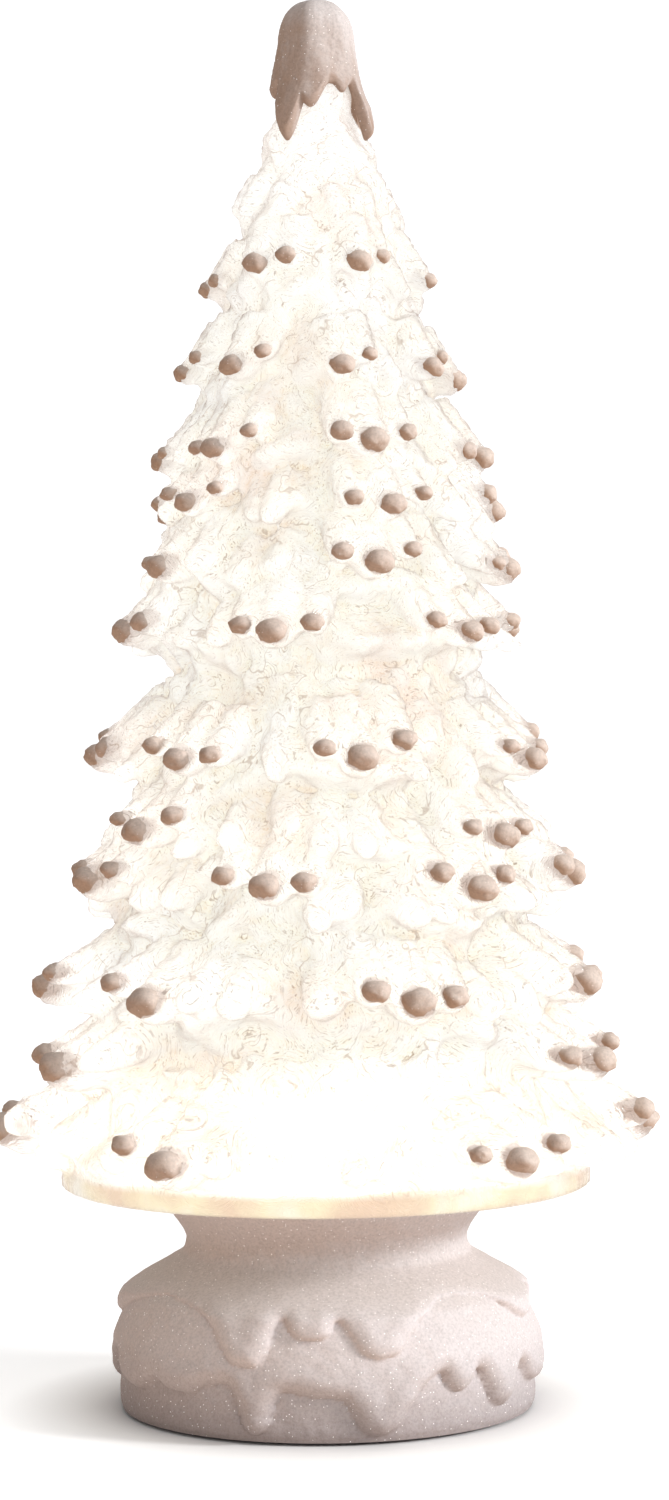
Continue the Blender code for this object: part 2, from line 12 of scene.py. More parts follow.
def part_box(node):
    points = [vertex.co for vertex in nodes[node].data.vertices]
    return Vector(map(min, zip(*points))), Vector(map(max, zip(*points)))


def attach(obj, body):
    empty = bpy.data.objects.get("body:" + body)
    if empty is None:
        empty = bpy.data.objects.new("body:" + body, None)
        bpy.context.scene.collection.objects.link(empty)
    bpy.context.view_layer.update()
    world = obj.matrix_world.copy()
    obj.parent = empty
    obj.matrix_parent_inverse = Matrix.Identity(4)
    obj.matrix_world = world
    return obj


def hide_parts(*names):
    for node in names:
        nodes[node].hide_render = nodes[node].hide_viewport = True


MM = 0.001
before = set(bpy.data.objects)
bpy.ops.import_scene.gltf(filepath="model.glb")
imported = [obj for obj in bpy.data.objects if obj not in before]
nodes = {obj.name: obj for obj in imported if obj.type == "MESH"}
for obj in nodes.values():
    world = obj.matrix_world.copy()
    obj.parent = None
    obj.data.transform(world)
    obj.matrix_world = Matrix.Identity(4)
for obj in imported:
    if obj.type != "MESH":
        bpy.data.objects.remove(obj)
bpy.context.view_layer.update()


# ---------------------------------------------------------------- sizes, in mm
def heights_of(node):
    """The heights of a CAD node's lowest and highest points."""
    low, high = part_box(node)
    return round(low.z / MM, 2), round(high.z / MM, 2)


TREE_FOOT, SHELL_TOP = heights_of("tree_shell")
TREE_TOP = SHELL_TOP - 0.4
BASE_FOOT, BASE_TOP = heights_of("base_shell")
CAP_TOP = heights_of("snow_cap")[1]
RIM_TOP, RIM_RADIUS = 58.6, 64.6
SPIRE_TOP = 333.0
SPIRE_THINS_FROM = 296.0  # the spire is a little thinner above this height, to clear the cap
WALL = 5.0
CAVITY_TOP = 318.0
VOXEL = 1.1
LARGE_REACH = 79.0  # thicknesses are stated for a bough that reaches this far out

# Tiers of snow-tipped boughs: (height, how many stand round it, azimuth of the first one).
BOUGH_TIERS = (
    (67, 6, -86), (86, 3, -57), (102, 7, -87), (127, 7, -66), (139, 4, -45), (157, 7, -91), (187, 6, -74),
    (202, 5, -57), (217, 5, 24), (229, 6, -38), (250, 8, 9), (273, 6, -37),
)
ONE_SIDED_FROM = 240.0  # boughs above this height have a snowy tip on one side only
CLEAR_BOUGHS_FROM, CLEAR_BOUGHS_TO = 62.0, 294.0

# How far the boughs reach at each height, and the body between them: (height, radius).
REACH = (
    (66, 82.6), (101, 71.5), (124, 65.0), (164, 56.5), (200, 49.0), (225, 43.5), (254, 34.5), (275, 28.5),
    (300, 19.0), (321, 12.4), (334, 11.0),
)
CORE = (
    (59, 60.5), (84, 54.5), (113, 49.5), (143, 43.5), (174, 38.0), (214, 31.5), (240, 27.3), (265, 23.0),
    (290, 17.0), (308, 12.4), (321, 9.6), (334, 7.3),
)
# The heights of the skirts' feet, and how far the hollow under each reaches down.
SKIRT_FEET = (65, 99, 122, 138, 155, 186, 200, 214, 228, 248, 270, 288, 304, 321)
UNDERCUT = 4.5

# The snow cap's lower edge, and its drips as (azimuth, length, half width in degrees).
CAP_EDGE = 321.0
CAP_DRIPS = (
    (-150, 13, 28), (-86, 2, 14), (-34, 14, 25), (-8, 6, 26), (38, 2, 14), (72, 13, 17), (128, 10, 26),
)

# The base's outline, outside and inside: (radius, height).
BASE_OUTLINE = (
    (50.0, BASE_FOOT), (50.6, 3.0), (50.4, 7.0), (50.1, 11.0), (49.4, 15.0), (48.4, 19.0), (47.0, 23.0),
    (45.2, 27.0), (43.2, 30.5), (40.6, 33.2), (37.6, 35.8), (35.2, 38.3), (34.3, 41.3), (35.2, 44.2),
    (37.2, 47.0), (39.8, 50.5), (41.0, BASE_TOP),
)
BASE_HOLLOW = (
    (31.0, BASE_TOP), (31.0, 45.7), (18.0, 45.7), (18.0, 43.0), (31.0, 43.0), (31.0, 38.5), (38.0, 31.0),
    (44.0, 24.0), (48.0, 17.0), (48.0, BASE_FOOT),
)
# Two layers of snow, each with a thickness and its wavy lower edge: (azimuth, height).
SNOW_LAYERS = (
    (3.1, (
        (-180, 5), (-168, 12), (-155, 5), (-142, 13), (-125, 4), (-112, 13), (-98, 6), (-88, 14), (-78, 15),
        (-69, 10), (-60, 9), (-52, 12.5), (-46, 10.6), (-39, 10.4), (-33, 13), (-27, 13.5), (-24.5, 10),
        (-22.5, 4.6), (-19, 2.4), (-15.5, 4.6), (-13.5, 10), (-11, 12.5), (-3, 11.4), (4, 10.8), (6.5, 8),
        (9, 4), (13.5, 2.2), (18, 3.6), (22, 8), (26, 12.5), (32, 15.5), (33.5, 12.5), (37, 10.6), (41, 12),
        (44, 15.2), (46.5, 12), (49, 7), (53, 5.4), (57, 7), (60, 12), (64, 14), (69, 9.5), (76, 8), (82, 10),
        (88, 14), (98, 5), (112, 12), (126, 4), (140, 13), (153, 6), (167, 13), (180, 5),
    )),
    (2.5, (
        (-180, 21), (-160, 27), (-140, 21), (-118, 28), (-95, 23), (-75, 28), (-55, 31), (-40, 29.5),
        (-33, 26.5), (-28, 21.5), (-24, 18.6), (-19, 18.2), (-16, 21), (-14, 26), (-12, 28.6), (-9.5, 25.6),
        (-5, 24.2), (0, 24.8), (3, 28.2), (6.5, 25), (9, 21.6), (13.5, 20), (18.5, 20.8), (23, 24.5),
        (29, 29), (38, 32), (52, 31), (70, 24), (88, 29), (110, 21), (130, 28), (150, 20), (165, 27),
        (180, 21),
    )),
)
SNOW_LIP = 4.4  # how far a layer takes to rise from its edge to its full thickness
SNOW_GONE, SNOW_FADE = 38.0, 9.0  # the height on the neck where the layers end, and how far they fade

# ---------------------------------------------------------------- camera, in metres and degrees
CAMERA_PLACE = (0.0030, -0.800, 0.1605)
CAMERA_LENS, CAMERA_TILT, CAMERA_ROLL = 78.5, 90 - 0.05, 0.5


def reach(z):
    return float(np.interp(z, *zip(*REACH)))


def core(z):
    return float(np.interp(z, *zip(*CORE)))


def skirt(z, share_out=1.0):
    """The radius of the tree's wall: each tier flares out to its foot, over a narrow waist."""
    waist = 2.0
    for foot, above in zip(SKIRT_FEET, SKIRT_FEET[1:]):
        if z < above - UNDERCUT:
            flare = 0.42 * share_out * (reach(foot) - core(foot))
            if z < SKIRT_FEET[0]:
                start = RIM_RADIUS - 1
                return start + (core(foot) + flare - start) * (z - RIM_TOP) / (foot - RIM_TOP)
            if z < foot:
                return core(z) - waist + (flare + waist) * (1 - (foot - z) / UNDERCUT) ** 0.5
            share = (z - foot) / (above - UNDERCUT - foot)
            return core(z) - waist * share + flare * (1 - share) ** 1.7
    return core(z)


def at(azimuth, radius, z):
    """The point at this azimuth in degrees, from the front towards +X."""
    turn = math.radians(azimuth)
    return Vector((radius * math.sin(turn), -radius * math.cos(turn), z))


def on_circle(azimuth, size, z):
    """A place for reading noise that joins up all the way round."""
    return Vector((math.sin(math.radians(azimuth)) * size, math.cos(math.radians(azimuth)) * size, z))


def apart(azimuth, other):
    """The angle between two azimuths, from -180 to 180 degrees."""
    return (azimuth - other + 180) % 360 - 180


def unit(value):
    """The value, kept between 0 and 1."""
    return max(0.0, min(1.0, value))


def bump_shape(offset):
    return 0.5 + 0.5 * math.cos(math.pi * offset) if abs(offset) < 1 else 0.0


# ---------------------------------------------------------------- meshes
def piece(name, verts, faces, material=None, body="tree"):
    """A mesh object from corners in millimetres, riding on a body unless that is None."""
    mesh = bpy.data.meshes.new(name)
    mesh.from_pydata([Vector(v) * MM for v in verts], [], faces)
    mesh.update()
    made = bpy.data.objects.new(name, mesh)
    bpy.context.scene.collection.objects.link(made)
    mesh.shade_smooth()
    if material:
        mesh.materials.append(material)
    if body:
        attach(made, body)
    return made


def rings_mesh(rings, closed=False):
    """Corners and faces of a skin over rings of points; a ring of one point is a pole."""
    verts, faces, starts = [], [], []
    for ring in rings:
        starts.append(len(verts))
        verts += ring
    pairs = list(zip(range(len(rings)), range(1, len(rings))))
    if closed:
        pairs.append((len(rings) - 1, 0))
    for low, high in pairs:
        a, b, n = starts[low], starts[high], max(len(rings[low]), len(rings[high]))
        na, nb = len(rings[low]), len(rings[high])
        for k in range(n):
            corner = [a + k % na, a + (k + 1) % n % na, b + (k + 1) % n % nb, b + k % nb]
            faces.append(list(dict.fromkeys(corner)))
    return verts, faces


def finger(path, heights, widths, sides=10):
    """A closed rounded finger along a path, with its half height and half width at each point."""
    rings = [[path[0] - (path[1] - path[0]).normalized() * heights[0] * 0.5]]
    for k, centre in enumerate(path):
        ahead = (path[min(k + 1, len(path) - 1)] - path[max(k - 1, 0)]).normalized()
        side = ahead.cross(Vector((0, 0, 1))).normalized()
        up = side.cross(ahead).normalized()
        ring = []
        for j in range(sides):
            turn = math.tau * j / sides
            ring.append(centre + side * widths[k] * math.cos(turn) + up * heights[k] * math.sin(turn))
        rings.append(ring)
    end = (path[-1] - path[-2]).normalized()
    rings.append([path[-1] + end * heights[-1] * 0.35])
    return rings_mesh(rings)


def add_part(verts, faces, part):
    """Joins the corners and faces of one part to those of a larger mesh."""
    corners, its_faces = part
    faces.extend([i + len(verts) for i in face] for face in its_faces)
    verts.extend(corners)


def bough_path(azimuth, z, half, far, turn=0.0, steps=7):
    """Points from inside the wall out and down to a bough's tip."""
    droop = slope(z) * (far - core(z) + 6)
    far -= half * 0.2
    root = core(z + droop) - 1.5
    points = []
    for k in range(steps):
        t = k / (steps - 1)
        radius = root + (far - root) * t
        height = z + droop * (1 - t) ** 1.35
        points.append(at(azimuth + turn * (1 - t), radius, height))
    return points


def slope(z):
    """How steeply a bough falls towards its tip: gently low on the tree, steeply near its top."""
    return 0.22 + 0.50 * unit((z - 70) / 200)


def tips():
    """All tips as (azimuth, height, half thickness, reach, has snow): each bough's middle and its sides."""
    found = []
    shuffle = random.Random(11)
    for tier, count, first in BOUGH_TIERS:
        for k in range(count):
            a = first + 360 * k / count + shuffle.uniform(-3, 3)
            z = tier + shuffle.uniform(-1.5, 1.5)
            size = reach(z) / LARGE_REACH
            half = 2.1 + 2.4 * size + shuffle.uniform(-0.3, 0.6)
            aside = math.degrees(11.5 / reach(z) * (0.6 + 0.4 * size))
            found.append((a, z, half, reach(z) - 1.0, True))
            for side in (-1, 1) if tier < ONE_SIDED_FROM else (1,):
                off = side * aside * shuffle.uniform(0.85, 1.15)
                thin = half * shuffle.uniform(0.62, 0.85)
                higher = z + shuffle.uniform(1.0, 4.5)
                found.append((a + off, higher, thin, reach(z) - 3.0, shuffle.random() > 0.15))
    return found


def bough_rows():
    """The rows of clear boughs as (height, is it at a skirt's foot)."""
    rows = [(z, True) for z in SKIRT_FEET[:-1]]
    for foot, above in zip(SKIRT_FEET[:-1], SKIRT_FEET[1:-1]):
        shares = (0.3, 0.55, 0.8) if above - foot > 20 else (0.5,)
        rows += [(foot + (above - foot) * share, False) for share in shares]
    return rows


def crowded(a, z, taken):
    """Whether a bough here would stand within 7 mm of one that is there already."""
    return any(
        abs(apart(a, other)) * reach(z) * 0.0175 < 7 and abs(z - its_z) < 7 for other, its_z, *_ in taken
    )


def clear_fingers(taken):
    """Clear boughs without snow: long ones along each skirt's foot, short ones over the wall between."""
    shuffle = random.Random(5)
    found = []
    for row, at_foot in bough_rows():
        spacing = 13 if at_foot else 11
        count = max(5, int(2 * math.pi * reach(row) / spacing))
        phase = shuffle.uniform(0, 360)
        for k in range(count):
            a = phase + 360 * k / count + shuffle.uniform(-8, 8)
            z = row + shuffle.uniform(-2, 3)
            if crowded(a, z, taken) or z < CLEAR_BOUGHS_FROM:
                continue
            half = (1.5 + 1.9 * reach(z) / LARGE_REACH) * shuffle.uniform(0.75, 1.1)
            half *= 1.0 if at_foot else 0.75
            share = shuffle.uniform(0.45, 0.82) if at_foot else shuffle.uniform(0.02, 0.20)
            far = core(z) + (reach(z) - core(z)) * share - (0 if at_foot else 1.5)
            if z <= CLEAR_BOUGHS_TO:
                found.append((a, z, half, far, False))
    return found


def wall_radius(azimuth, z):
    """The radius of the tree's uneven wall: the skirts' feet wander up and down, and flare more or less."""
    across = on_circle(azimuth, 2.2, z / 90)
    shift = 9.0 * noise.noise(across) * min(1.0, max(0.0, (z - 66) / 20), (SPIRE_TOP - z) / 30)
    full = max(0.1, min(1.3, 0.75 + 1.5 * noise.noise(across * 1.6 + Vector((7, 0, z / 22)))))
    return skirt(z + shift, full) - 1.5 * unit((z - SPIRE_THINS_FROM) / 12)


def tree_body():
    """The wall of the tree: a cone with an uneven skirt at each tier, hollow and open at its foot."""
    sides = 180
    step = 1.2
    plate_radius = 57.9
    azimuths = [360 * k / sides for k in range(sides)]
    hollow = [(plate_radius, TREE_FOOT), (plate_radius, 57.0)]
    hollow += [(core(z) - WALL, z) for z in range(60, 316, 6)]
    rings = [[Vector((0, 0, CAVITY_TOP))]]
    rings += [[at(a, radius, z) for a in azimuths] for radius, z in reversed(hollow)]
    rim = (
        (RIM_RADIUS - 1.2, TREE_FOOT), (RIM_RADIUS, TREE_FOOT + 1.0), (RIM_RADIUS, RIM_TOP - 0.8),
        (RIM_RADIUS - 1.0, RIM_TOP),
    )
    rings += [[at(a, radius, z) for a in azimuths] for radius, z in rim]
    z = RIM_TOP + step
    while z < SPIRE_TOP:
        ring = []
        for a in azimuths:
            wave = 0.0
            if RIM_TOP + 3 < z < 320:
                wave = 2.0 * noise.noise(on_circle(a, 2.8, z / 15)) * unit((312 - z) / 25)
            ring.append(at(a, wall_radius(a, z) + wave, z))
        rings.append(ring)
        z += step
    spire = ((6.6, SPIRE_TOP), (5.4, SPIRE_TOP + 2.8), (3.0, TREE_TOP - 0.8))
    rings += [[at(a, radius, z) for a in azimuths] for radius, z in spire]
    rings.append([Vector((0, 0, TREE_TOP))])
    return rings_mesh(rings)


def fuse(tree):
    """Joins the wall and the boughs into one skin."""
    remesh = tree.modifiers.new("fuse", "REMESH")
    remesh.mode = "VOXEL"
    remesh.voxel_size = VOXEL * MM
    remesh.adaptivity = 0.0
    remesh.use_smooth_shade = True
    smooth = tree.modifiers.new("smooth", "SMOOTH")
    smooth.factor = 0.5
    smooth.iterations = 3
    bpy.context.view_layer.update()
    fused = bpy.data.meshes.new_from_object(tree.evaluated_get(bpy.context.evaluated_depsgraph_get()))
    tree.modifiers.clear()
    tree.data = fused


def make_tree(snowy, material):
    """The tree as one mesh: its wall, the boughs that carry snow and the clear ones."""
    verts, faces = tree_body()
    shuffle = random.Random(3)
    for azimuth, z, half, far, _ in snowy + clear_fingers(snowy):
        path = bough_path(azimuth, z, half, far, turn=shuffle.uniform(-3, 3))
        last = len(path) - 1
        heights = [half * (2.05 - 1.10 * k / last) for k in range(last + 1)]
        heights[-2:] = half * 1.08, half * 0.58
        widths = [half * (1.85 - 0.80 * k / last) for k in range(last + 1)]
        widths[-2:] = half * 1.10, half * 0.62
        add_part(verts, faces, finger(path, heights, widths))
    tree = piece("tree_boughs", verts, faces, body=None)
    fuse(tree)
    tree.data.materials.clear()
    tree.data.materials.append(material)
    carve_needles(tree.data)
    tree.data.shade_smooth()
    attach(tree, "tree")
    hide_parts("tree_shell")
    return tree


def carve_needles(mesh):
    """Raises needle ridges that run down the boughs, and ripples the clear surface."""
    count = len(mesh.vertices)
    co = np.empty(count * 3, np.float32)
    normal = np.empty(count * 3, np.float32)
    mesh.vertices.foreach_get("co", co)
    mesh.vertex_normals.foreach_get("vector", normal)
    co, normal = co.reshape(-1, 3) / MM, normal.reshape(-1, 3)
    x, y, z = co.T
    azimuth = np.arctan2(x, -y)
    radius = np.hypot(x, y)
    outside = np.clip((radius - np.interp(z, *zip(*CORE)) + 3.0) / 1.5, 0, 1)
    outside *= np.clip((z - RIM_TOP - 1) / 2, 0, 1) * np.clip((318 - z) / 8, 0, 1)
    wobble = 0.22 * np.sin(z * 0.21 + 5 * np.sin(azimuth * 7)) + 0.12 * np.sin(radius * 0.5 + azimuth * 11)
    lines = np.sin((azimuth + wobble * 0.5) * 60) * 0.5
    lines += np.sin((azimuth - wobble * 0.4) * 97 + z * 0.25) * 0.5
    upward = np.clip(normal[:, 2] * 0.9 + 0.65, 0.15, 1)
    lumps = np.sin(x * 0.61 + 2 * np.sin(z * 0.23)) * np.sin(y * 0.57 + 1.7) * np.sin(z * 0.49 + x * 0.1)
    facets = np.sin(x * 1.25 + 1.5 * np.sin(z * 0.5)) * np.sin(y * 1.15 + z * 0.4)
    facets *= np.sin(z * 1.05 + x * 0.3)
    push = outside * (upward * lines * 0.32 + lumps * 0.30 + facets * 0.26)
    co += normal * push[:, None]
    mesh.vertices.foreach_set("co", (co * MM).astype(np.float32).ravel())
    mesh.update()


def snow_blob(azimuth, z, half, far, seed):
    """A lump of snow over the end of a bough, longer along the top, with a rounded front."""
    path = bough_path(azimuth, z, half, far)
    end = path[-1]
    ahead = (end - path[-3]).normalized()
    side = ahead.cross(Vector((0, 0, 1))).normalized()
    up = side.cross(ahead).normalized()
    half *= 0.90
    centre = end - ahead * half * 0.50 + up * half * 0.30
    sides, rows = 16, 12
    rings = []
    for i in range(rows + 1):
        polar = math.pi * i / rows
        ring = []
        for j in range(sides if 0 < i < rows else 1):
            turn = math.tau * j / sides
            u, v, w = math.cos(polar), math.sin(polar) * math.cos(turn), math.sin(polar) * math.sin(turn)
            behind = max(0.0, -u)
            stretch = 1.75 if u < 0 else 0.92
            narrow = 1 - 0.34 * behind
            spot = centre + ahead * u * half * stretch
            spot += side * v * half * 1.02 * narrow
            spot += up * w * half * 0.80 * narrow
            spot -= up * half * 0.16 * behind
            lump = 1 + 0.20 * noise.noise(Vector((u * 1.5 + seed, v * 1.5, w * 1.5)))
            lump += 0.07 * noise.noise(Vector((u * 4 + seed, v * 4, w * 4)))
            ring.append(centre + (spot - centre) * lump)
        rings.append(ring)
    return rings_mesh(rings)


def make_tips(snowy, material):
    """One mesh with a lump of snow on every bough that carries one."""
    verts, faces = [], []
    for number, (azimuth, z, half, far, has_snow) in enumerate(snowy):
        if has_snow:
            add_part(verts, faces, snow_blob(azimuth, z, half, far, number * 3.1))
    return piece("snow_tips", verts, faces, material)


# ---------------------------------------------------------------- snow cap
def cap_edge(azimuth):
    """The height of the cap's lower edge at this azimuth."""
    falls = [length * bump_shape(apart(azimuth, where) / half) ** 0.8 for where, length, half in CAP_DRIPS]
    return CAP_EDGE - max(falls)


def make_cap(material):
    """The snow over the spire: a skin that thins out along its dripping edge, with a rounded crown."""
    sides, rows, crown_rows = 144, 30, 12
    azimuths = [360 * k / sides for k in range(sides)]
    edges = [cap_edge(a) for a in azimuths]
    inner, outer = [], []
    for k in range(rows + 1):
        ring_in, ring_out = [], []
        for a, edge in zip(azimuths, edges):
            z = edge + (SPIRE_TOP - edge) * (k / rows)
            base = core(z) - 0.2
            above = z - edge
            thick = (2.1 + 0.9 * unit((CAP_EDGE - z) / 5)) * min(1.0, above / 2.4 + 0.03) ** 0.5
            thick += 0.9 * noise.noise(on_circle(a, 1.9, z / 16)) * min(1, above / 3)
            ring_in.append(at(a, base, z))
            ring_out.append(at(a, base + thick, z))
        inner.append(ring_in)
        outer.append(ring_out)
    crown = []
    for k in range(1, crown_rows):
        turn = math.radians(90 * k / crown_rows)
        lift = SPIRE_TOP + (CAP_TOP - SPIRE_TOP) * math.sin(turn)
        inwards = math.cos(turn) ** 0.8
        crown.append([Vector((p.x, p.y, 0)) * inwards + Vector((0, 0, lift)) for p in outer[-1]])
    dome = [at(a, 5.6, SPIRE_TOP + 4.0) for a in azimuths]
    ceiling, top = Vector((0, 0, TREE_TOP + 0.5)), Vector((0, 0, CAP_TOP))
    rings = [[ceiling], dome, *reversed(inner), *outer, *crown, [top]]
    verts, faces = rings_mesh(rings)
    roughened = []
    for v in verts:
        grain = 0.16 * noise.noise(v * 0.9) + 0.08 * noise.noise(v * 2.3)
        flat = Vector((v.x, v.y, 0))
        roughened.append(v + (flat.normalized() * grain if flat.length > 1 else Vector((0, 0, 0))))
    cap = piece("snow_on_top", roughened, faces, material)
    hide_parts("snow_cap")
    return cap


# ---------------------------------------------------------------- base
def wave_edges(count, points):
    """The height of a layer's edge at evenly spaced azimuths, as a smooth curve through its points."""
    places, heights = (np.array(row, float) for row in zip(*points))
    rises = np.diff(heights) / np.diff(places)
    bends = np.zeros(len(places))
    same = rises[1:] * rises[:-1] > 0
    bends[1:-1][same] = 2 / (1 / rises[1:][same] + 1 / rises[:-1][same])
    azimuths = (np.arange(count) * 360 / count + 180) % 360 - 180
    k = np.clip(np.searchsorted(places, azimuths, side="right") - 1, 0, len(places) - 2)
    span = places[k + 1] - places[k]
    t = (azimuths - places[k]) / span
    level = heights[k] * (1 + 2 * t) * (1 - t) ** 2 + heights[k + 1] * t * t * (3 - 2 * t)
    return level + span * t * (1 - t) * (bends[k] * (1 - t) - bends[k + 1] * t)


def snow_on_base(sides, heights):
    """How thick the snow lies at each height and side: each layer has a rounded lip along its edge."""
    z = np.array(heights)[:, None]
    fine = 5
    step = math.tau * 49.5 / sides / fine
    widest = 8 * fine
    thickness = np.zeros((len(heights), sides))
    for full, points in SNOW_LAYERS:
        edge = wave_edges(sides * fine, points)
        away = np.full((len(heights), sides), 99.0)
        for shift in range(-widest, widest + 1):
            away = np.minimum(away, np.hypot(shift * step, z - np.roll(edge, shift)[None, ::fine]))
        inside = np.where(z > edge[None, ::fine], away, 0.0)
        rise = np.clip(inside / SNOW_LIP, 0, 1)
        puff = 1 + 0.14 * np.exp(-(((inside - 4.0) / 3.0) ** 2))
        thickness += full * puff * np.sqrt(1 - (1 - rise) ** 2)
    return thickness * np.clip((SNOW_GONE - z) / SNOW_FADE, 0, 1)


def smooth_outline(outline, steps):
    """A smooth curve through the outline's points, as (radius, height)."""
    points = [Vector((r, z, 0)) for r, z in outline]
    points = [2 * points[0] - points[1], *points, 2 * points[-1] - points[-2]]
    found = []
    for k in range(1, len(points) - 2):
        a, b, c, d = points[k - 1 : k + 3]
        for step in range(steps):
            t = step / steps
            bend = (2 * a - 5 * b + 4 * c - d) * t * t + (3 * b - a - 3 * c + d) * t**3
            p = (2 * b + (c - a) * t + bend) / 2
            found.append((p.x, p.y))
    return [*found, outline[-1]]


def base_grain(spot):
    """Unevenness of the snow's surface, from broad swells to single lumps."""
    return 0.22 * noise.noise(spot * 0.35) + 0.14 * noise.noise(spot * 1.1) + 0.05 * noise.noise(spot * 2.6)


def make_base(material):
    """The bell-shaped base under its two layers of snow, open inside."""
    sides = 400
    azimuths = [360 * k / sides for k in range(sides)]
    outline = smooth_outline(BASE_OUTLINE, 7)
    rings = []
    for (radius, z), depths in zip(outline, snow_on_base(sides, [z for _, z in outline])):
        grainy = 1.5 < z < 53
        ring = []
        for a, depth in zip(azimuths, depths):
            grain = base_grain(at(a, radius, z)) if grainy else 0
            ring.append(at(a, radius + float(depth) + grain, z))
        rings.append(ring)
    rings += [[at(a, radius, z) for a in azimuths] for radius, z in BASE_HOLLOW]
    verts, faces = rings_mesh(rings, closed=True)
    base = piece("snowy_base", verts, faces, material)
    base.data.set_sharp_from_angle(angle=math.radians(50))
    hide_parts("base_shell")
    return base


# ---------------------------------------------------------------- materials
class Graph:
    """A small helper for building a material's nodes."""

    def __init__(self, name, **sockets):
        self.material = bpy.data.materials.new(name)
        self.material.use_nodes = True
        self.tree = self.material.node_tree
        self.shader = self.tree.nodes["Principled BSDF"]
        for key, value in sockets.items():
            self.put(self.shader, key.replace("_", " "), value)

    def put(self, node, key, value):
        """Sets a node's input, or links another node's output to it."""
        socket = node.inputs[key]
        if isinstance(value, bpy.types.NodeSocket):
            self.tree.links.new(value, socket)
        elif isinstance(value, tuple) and len(value) == 3 and socket.type == "RGBA":
            socket.default_value = (*value, 1.0)
        else:
            socket.default_value = value

    def node(self, kind, settings=None, **inputs):
        """A new node. An input is given by its name with _ for each space, or by i and its number."""
        made = self.tree.nodes.new("ShaderNode" + kind)
        for key, value in (settings or {}).items():
            setattr(made, key, value)
        for key, value in inputs.items():
            numbered = key[0] == "i" and key[1:].isdigit()
            self.put(made, int(key[1:]) if numbered else key.replace("_", " "), value)
        return made

    def where(self):
        """The place on the object, in metres."""
        return self.node("TexCoord").outputs["Object"]

    def math(self, operation, a, b=0.0):
        return self.node("Math", {"operation": operation}, i0=a, i1=b).outputs[0]

    def times(self, a, b):
        return self.math("MULTIPLY", a, b)

    def plus(self, a, b):
        return self.math("ADD", a, b)

    def minus(self, a, b):
        return self.math("SUBTRACT", a, b)

    def larger(self, a, b):
        return self.math("MAXIMUM", a, b)

    def span(self, value, low=0.0, high=1.0, to_low=0.0, to_high=1.0):
        """Maps the range from low to high onto the range from to_low to to_high, and clamps it there."""
        ends = {"From_Min": low, "From_Max": high, "To_Min": to_low, "To_Max": to_high}
        made = self.node("MapRange", {"clamp": True}, Value=value, **ends)
        return made.outputs[0]

    def noise(self, scale, detail=2.0, rough=0.5, vector=None):
        place = vector or self.where()
        made = self.node("TexNoise", Scale=scale, Detail=detail, Roughness=rough, Vector=place)
        return made.outputs["Fac"]

    def ramp(self, factor, stops):
        """A colour for each value of the factor, blended between (place, colour) stops."""
        made = self.node("ValToRGB", Fac=factor)
        elements = made.color_ramp.elements
        while len(elements) < len(stops):
            elements.new(0.5)
        for element, (place, colour) in zip(elements, stops):
            element.position = place
            element.color = (*colour, 1.0)
        return made.outputs["Color"]

    def mix(self, factor, a, b, blend="MIX"):
        made = self.node("Mix", {"data_type": "RGBA", "blend_type": blend}, i0=factor, i6=a, i7=b)
        return made.outputs[2]

    def bump(self, height, strength, distance):
        return self.node("Bump", Height=height, Strength=strength, Distance=distance).outputs["Normal"]

    def height(self, low, high):
        """0 at one height in metres and 1 at another."""
        return self.span(self.node("SeparateXYZ", Vector=self.where()).outputs["Z"], low, high)

    def facing(self, *towards):
        """How far the surface faces a direction: -1 to 1."""
        normal = self.node("NewGeometry").outputs["Normal"]
        return self.node("VectorMath", {"operation": "DOT_PRODUCT"}, i0=normal, i1=towards).outputs["Value"]

    def upward(self):
        """How far the surface faces up: -1 to 1."""
        return self.node("SeparateXYZ", Vector=self.node("NewGeometry").outputs["Normal"]).outputs["Z"]


def beyond_core(g, radius, z):
    """How far a point stands out from the tree's body, in metres."""
    tallest, widest = 0.35, 0.1
    edge = g.node("FloatCurve", Value=g.times(z, 1 / tallest))
    curve = edge.mapping.curves[0]
    while len(curve.points) < len(CORE):
        curve.points.new(0.5, 0.5)
    for point, (height, wide) in zip(curve.points, CORE):
        point.location = (height * MM / tallest, wide * MM / widest)
        point.handle_type = "VECTOR"
    edge.mapping.update()
    return g.minus(radius, g.times(edge.outputs[0], widest))


def needle_places(g, azimuth, radius, z):
    """Places for noise, stretched along needles that lie in patches, each patch turned another way."""
    patch = g.node("TexVoronoi", Scale=62.0, Randomness=1.0, Vector=g.where())
    pick = g.node("SeparateColor", Color=patch.outputs["Color"]).outputs[0]
    turn = g.plus(g.times(g.minus(pick, 0.5), 1.5), g.times(g.minus(g.noise(75.0, 3.0), 0.5), 1.2))
    cosine, sine = g.math("COSINE", turn), g.math("SINE", turn)
    around = g.times(azimuth, radius)
    across = g.plus(g.times(around, cosine), g.times(z, sine))
    along = g.minus(g.times(z, cosine), g.times(around, sine))
    layer = g.times(patch.outputs["Distance"], 40.0)
    return g.node("CombineXYZ", X=g.times(across, 330.0), Y=g.times(along, 42.0), Z=layer).outputs[0]


